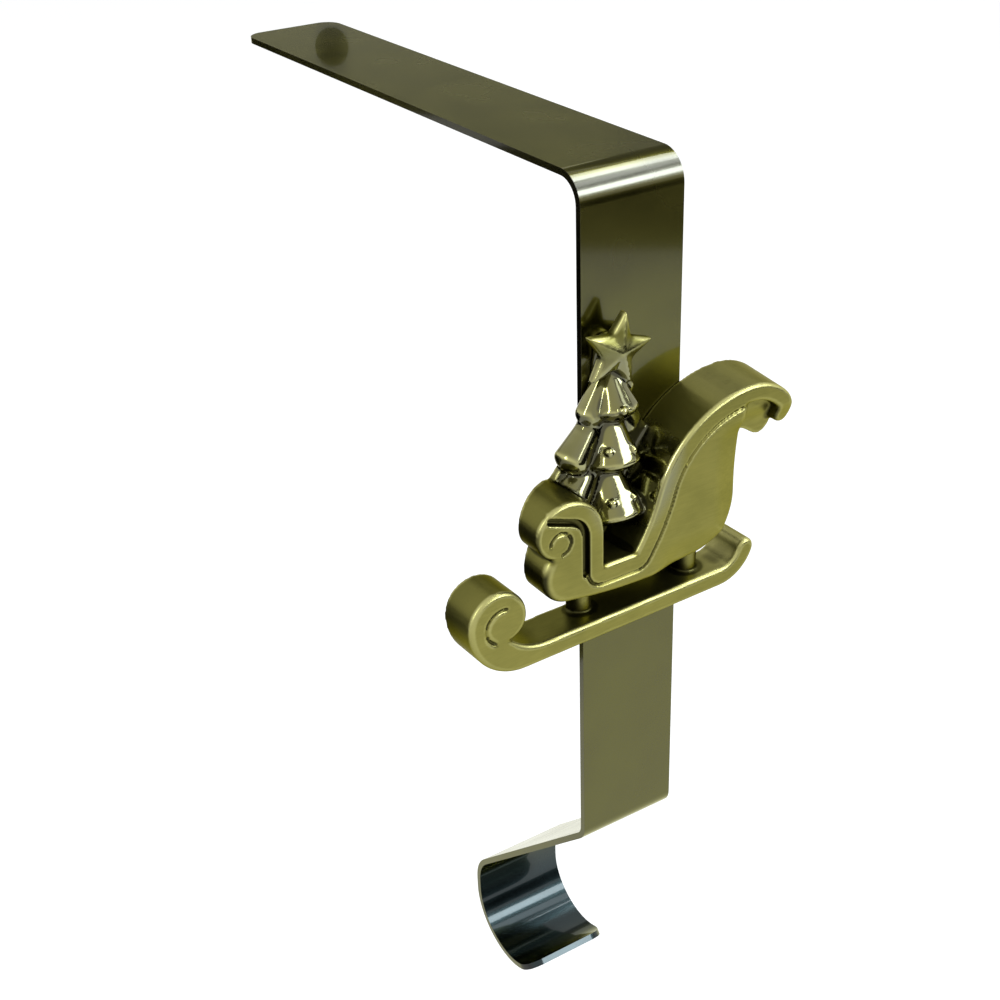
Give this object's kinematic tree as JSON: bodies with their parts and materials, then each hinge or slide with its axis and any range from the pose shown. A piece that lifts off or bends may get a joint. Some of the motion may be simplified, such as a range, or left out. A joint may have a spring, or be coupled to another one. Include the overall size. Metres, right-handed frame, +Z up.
{
  "type": "mantel stocking holder",
  "caption": "Hook bracket bent from one flat bar, with an arm that lies on a mantel shelf, a J hook at the foot and a cast sleigh, tree and star on its leg.",
  "frame": {"origin": "middle of the arm's flat underside, on the bar's centre line, where it rests on the shelf", "axes": "+Z up; +Y back along the arm, away from the ornament; +X to the right across the bar, seen from the front"},
  "size_m": [0.0816, 0.1608, 0.2289],
  "materials": {
    "lacquered_bar": "gloss lacquer over antique bronze",
    "antique_brass": "satin antique brass with dark recesses",
    "plated_steel": "plain zinc plate"
  },
  "bodies": {
    "root": {"strip_bracket": "lacquered_bar", "sleigh_casting": "antique_brass", "upper_screw": "plated_steel", "lower_screw": "plated_steel"}
  },
  "joints": []
}
